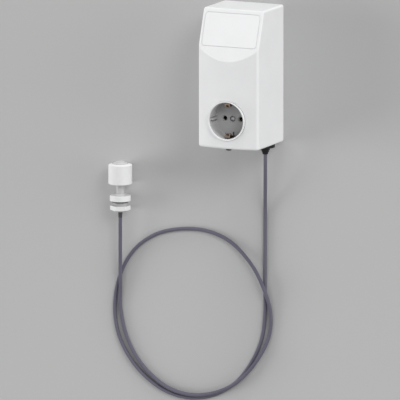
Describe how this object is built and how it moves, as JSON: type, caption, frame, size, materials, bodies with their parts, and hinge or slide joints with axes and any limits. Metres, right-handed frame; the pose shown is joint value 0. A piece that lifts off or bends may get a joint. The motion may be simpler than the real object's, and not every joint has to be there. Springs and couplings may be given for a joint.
{
  "type": "plug-in float switch alarm unit",
  "caption": "Plug-in mains unit with a bowed case, sloped front, earthed through socket and mute button, and a small float switch on a looped sensor lead.",
  "frame": {"origin": "midway between the two mains pins, on the end face of the plug boss", "axes": "+X to the case's right seen from the front, +Y up the case towards its sloped end, +Z out of the front along the plug and socket axis; the case's back, the lead and the float switch lie on the plane z = 0.0175"},
  "size_m": [0.2039, 0.4445, 0.1076],
  "materials": {
    "housing_white": "fine satin moulding",
    "label_white": "matt foil, bare",
    "socket_grey": "satin moulding",
    "contact_brass": "bright strip",
    "earth_copper": "spring bronze",
    "bar_copper": "bare copper",
    "pin_nickel": "nickel plate",
    "screw_steel": "zinc plate",
    "board_green": "solder mask",
    "relay_blue": "satin moulding",
    "core_dark": "varnished laminations",
    "part_black": "satin moulding",
    "fuse_white": "ceramic",
    "terminal_green": "satin moulding",
    "gland_black": "satin rubber",
    "cord_violet": "smooth soft jacket",
    "float_white": "satin moulding",
    "stem_grey": "satin moulding",
    "gasket_grey": "soft rubber",
    "magnet_dark": "sintered",
    "reed_glass": "clear glass"
  },
  "bodies": {
    "case": {"housing_hood": "housing_white", "rear_plate": "housing_white", "plug_body": "housing_white", "plug_screws": "screw_steel", "label_plate": "label_white", "case_screws": "screw_steel", "plug_pin_left": "pin_nickel", "plug_pin_right": "pin_nickel", "plug_earth_strips": "contact_brass", "earth_bar": "contact_brass", "neutral_bar": "bar_copper", "live_feed_bar": "bar_copper", "switched_live_bar": "bar_copper", "socket_cup": "socket_grey", "contact_base": "part_black", "socket_screw": "screw_steel", "socket_fixing_screws": "screw_steel", "contact_sleeve_left": "contact_brass", "contact_sleeve_right": "contact_brass", "circuit_board": "board_green", "board_screws": "screw_steel", "relay": "relay_blue", "transformer": "core_dark", "capacitor": "part_black", "fuse": "fuse_white", "terminal_block": "terminal_green", "buzzer": "part_black", "mute_switch": "part_black", "cable_gland": "gland_black", "gland_nut": "part_black", "sensor_cord": "cord_violet", "mount_flange": "float_white", "float_stem": "stem_grey", "stem_cap": "float_white", "reed_switch": "reed_glass", "flange_gasket": "gasket_grey", "lock_nut": "float_white"},
    "float_body": {"float": "float_white", "float_magnet": "magnet_dark"},
    "button_body": {"mute_button": "part_black"},
    "upper_clip_body": {"earth_clip_upper": "earth_copper"},
    "lower_clip_body": {"earth_clip_lower": "earth_copper"}
  },
  "joints": [
    {"name": "float_slide", "type": "slide", "parent": "case", "child": "float_body", "axis": [0, -1, 0], "range_m": [0, 0.01]},
    {"name": "mute_press", "type": "slide", "parent": "case", "child": "button_body", "axis": [0, 1, 0], "range_m": [0, 0.0008], "stiffness_N_per_m": 400},
    {"name": "upper_clip_bend", "type": "hinge", "parent": "case", "child": "upper_clip_body", "pos_m": [0, 0.019, 0.0681], "axis": [-1, 0, 0], "range_deg": [0, 6], "stiffness_Nm_per_rad": 0.3},
    {"name": "lower_clip_bend", "type": "hinge", "parent": "case", "child": "lower_clip_body", "pos_m": [0, -0.019, 0.0681], "axis": [1, 0, 0], "range_deg": [0, 6], "stiffness_Nm_per_rad": 0.3}
  ]
}
